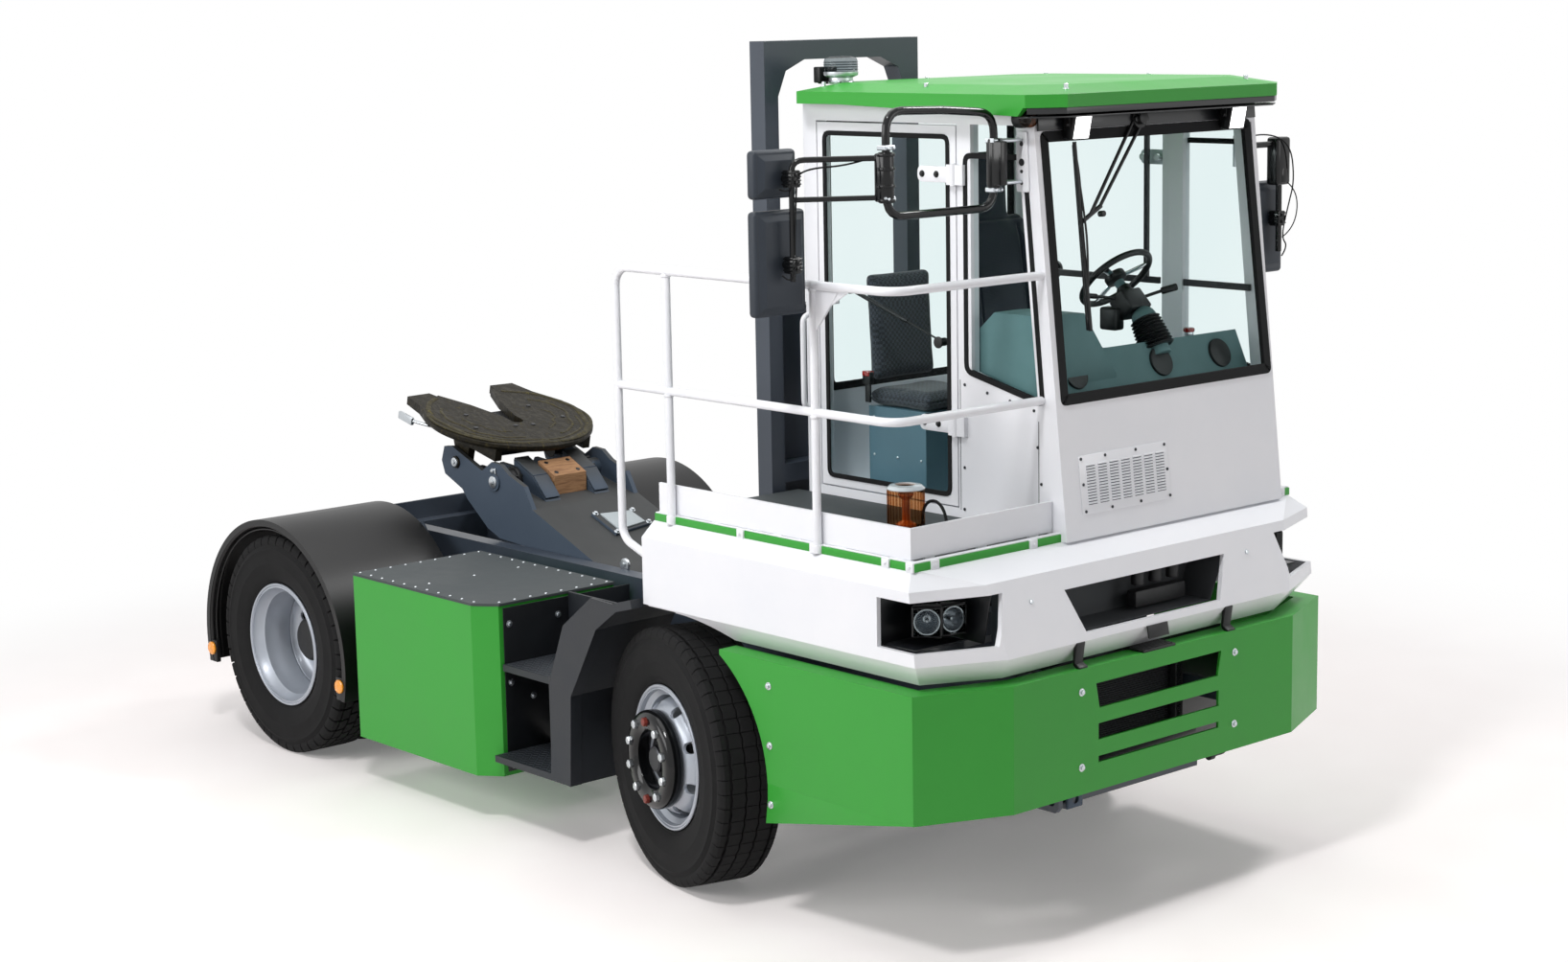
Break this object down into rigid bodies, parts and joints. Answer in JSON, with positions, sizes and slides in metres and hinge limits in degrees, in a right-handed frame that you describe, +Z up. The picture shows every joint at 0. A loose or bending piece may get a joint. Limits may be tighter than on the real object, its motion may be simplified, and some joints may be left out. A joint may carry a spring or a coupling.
{
  "type": "terminal tractor",
  "caption": "Yard tractor with a one-person cab, railed side deck, side battery boxes and a lifting fifth wheel over twin rear wheels.",
  "frame": {"origin": "on the ground under the middle of the overall box", "axes": "+X forward, +Y to the driver's left, +Z up"},
  "size_m": [5.252, 2.794, 3.4248],
  "materials": {
    "blue_grey_steel": "blue-grey chassis enamel",
    "green_paint": "gloss green enamel",
    "white_paint": "gloss white enamel",
    "dark_sheet": "dark grey fine-textured coat",
    "rim_silver": "silver wheel enamel",
    "tyre_rubber": "moulded tread rubber",
    "black_plastic": "black moulded plastic",
    "grey_plastic": "grey moulded plastic",
    "tinted_glass": "green-tinted safety glass",
    "clear_lens": "clear lens",
    "amber_lens": "amber lens",
    "seat_fabric": "dark blue woven cloth",
    "greased_iron": "greased cast surface",
    "axle_iron": "black painted casting",
    "bright_steel": "hard-chromed rod",
    "block_wood": "bolted hardwood",
    "battery_grey": "battery casing"
  },
  "bodies": {
    "chassis": {"amber_beacon": "amber_lens", "battery_boxes": "green_paint", "battery_lids": "dark_sheet", "battery_packs": "battery_grey", "bumper": "green_paint", "cab_roof": "green_paint", "cab_shell": "white_paint", "chassis_frame": "blue_grey_steel", "dashboard": "grey_plastic", "deck_plate": "dark_sheet", "deck_rim": "white_paint", "drive_motor": "axle_iron", "driver_seat_back": "seat_fabric", "driver_seat_cushion": "seat_fabric", "fender_brackets": "blue_grey_steel", "fixed_glass": "tinted_glass", "front_axle_beam": "axle_iron", "front_body": "white_paint", "front_cooler": "dark_sheet", "front_springs": "axle_iron", "front_tow_beam": "blue_grey_steel", "headboard_frame": "blue_grey_steel", "headlamps": "black_plastic", "hose_cabinet": "blue_grey_steel", "mirrors": "black_plastic", "passenger_seat_back": "seat_fabric", "passenger_seat_cushion": "seat_fabric", "propshaft": "axle_iron", "railing": "white_paint", "rear_axle": "axle_iron", "rear_fenders": "black_plastic", "roof_beacon": "clear_lens", "seat_bases": "black_plastic", "steps": "blue_grey_steel", "tail_lamps": "black_plastic", "windscreen": "tinted_glass", "wipers": "black_plastic", "work_lamps": "black_plastic"},
    "knuckle_right": {"knuckle_right": "axle_iron"},
    "knuckle_left": {"knuckle_left": "axle_iron"},
    "tie_rod": {"tie_rod": "axle_iron"},
    "front_wheel_right": {"front_tyre_right": "tyre_rubber", "front_rim_right": "rim_silver"},
    "front_wheel_left": {"front_tyre_left": "tyre_rubber", "front_rim_left": "rim_silver"},
    "rear_wheels_right": {"rear_tyres_right": "tyre_rubber", "rear_rims_right": "rim_silver"},
    "rear_wheels_left": {"rear_tyres_left": "tyre_rubber", "rear_rims_left": "rim_silver"},
    "steering_wheel": {"steering_wheel": "black_plastic"},
    "right_door": {"right_door_frame": "white_paint", "right_door_glass": "tinted_glass"},
    "left_door": {"left_door_frame": "white_paint", "left_door_glass": "tinted_glass"},
    "lift_boom": {"lift_boom": "blue_grey_steel", "wood_block": "block_wood"},
    "coupling_plate": {"coupling_plate": "greased_iron"},
    "lift_barrels": {"lift_barrels": "blue_grey_steel"},
    "lift_rods": {"lift_rods": "bright_steel"}
  },
  "joints": [
    {"name": "steer_right", "type": "hinge", "parent": "chassis", "child": "knuckle_right", "pos_m": [1.061, -0.92, 0.538], "axis": [0, 0, 1], "range_deg": [-24, 50]},
    {"name": "steer_left", "type": "hinge", "parent": "chassis", "child": "knuckle_left", "pos_m": [1.061, 0.92, 0.538], "axis": [0, 0, 1], "range_deg": [-24, 50]},
    {"name": "tie_rod_turn", "type": "hinge", "parent": "knuckle_right", "child": "tie_rod", "pos_m": [0.81171, -0.80262, 0.438], "axis": [0, 0, 1], "range_deg": [-53.2, 25.6]},
    {"name": "steering_wheel_turn", "type": "hinge", "parent": "chassis", "child": "steering_wheel", "pos_m": [1.998, 0.46, 2.425], "axis": [-0.7071, 0, 0.7071], "range_deg": [-432, 900]},
    {"name": "front_right_spin", "type": "hinge", "parent": "knuckle_right", "child": "front_wheel_right", "pos_m": [1.02666, -1.06088, 0.538], "axis": [0.2368, 0.9715, 0], "continuous": true},
    {"name": "front_left_spin", "type": "hinge", "parent": "knuckle_left", "child": "front_wheel_left", "pos_m": [1.09534, 1.06088, 0.538], "axis": [0.2368, 0.9715, 0], "continuous": true},
    {"name": "rear_right_spin", "type": "hinge", "parent": "chassis", "child": "rear_wheels_right", "pos_m": [-1.926, -1.09, 0.538], "axis": [0, 1, 0], "continuous": true},
    {"name": "rear_left_spin", "type": "hinge", "parent": "chassis", "child": "rear_wheels_left", "pos_m": [-1.926, 1.09, 0.538], "axis": [0, 1, 0], "continuous": true},
    {"name": "right_door_swing", "type": "hinge", "parent": "chassis", "child": "right_door", "pos_m": [1.828, -0.324, 2.33], "axis": [0, 0, 1], "range_deg": [0, 65]},
    {"name": "left_door_swing", "type": "hinge", "parent": "chassis", "child": "left_door", "pos_m": [1.828, 1.024, 2.33], "axis": [0, 0, -1], "range_deg": [0, 85]},
    {"name": "boom_lift", "type": "hinge", "parent": "chassis", "child": "lift_boom", "pos_m": [-0.326, 0, 0.89], "axis": [0, 1, 0], "range_deg": [-7.5, 18]},
    {"name": "plate_pitch", "type": "hinge", "parent": "lift_boom", "child": "coupling_plate", "pos_m": [-1.676, 0, 1.36], "axis": [0, 1, 0], "range_deg": [-25, 2]},
    {"name": "lift_barrel_swing", "type": "hinge", "parent": "chassis", "child": "lift_barrels", "pos_m": [-0.846, 0, 0.78], "axis": [0, 1, 0], "range_deg": [-10.56, 24.66]},
    {"name": "lift_rod_slide", "type": "slide", "parent": "lift_barrels", "child": "lift_rods", "axis": [-0.8413, 0, 0.5406], "range_m": [-0.05719, 0.13446]}
  ],
  "couplings": [
    {"joint": "steer_left", "follows": "steer_right", "ratio": 1},
    {"joint": "tie_rod_turn", "follows": "steer_right", "ratio": -1.06},
    {"joint": "steering_wheel_turn", "follows": "steer_right", "ratio": 18},
    {"joint": "lift_barrel_swing", "follows": "boom_lift", "ratio": 1.342},
    {"joint": "lift_rod_slide", "follows": "boom_lift", "m_per_rad": 0.42162}
  ]
}
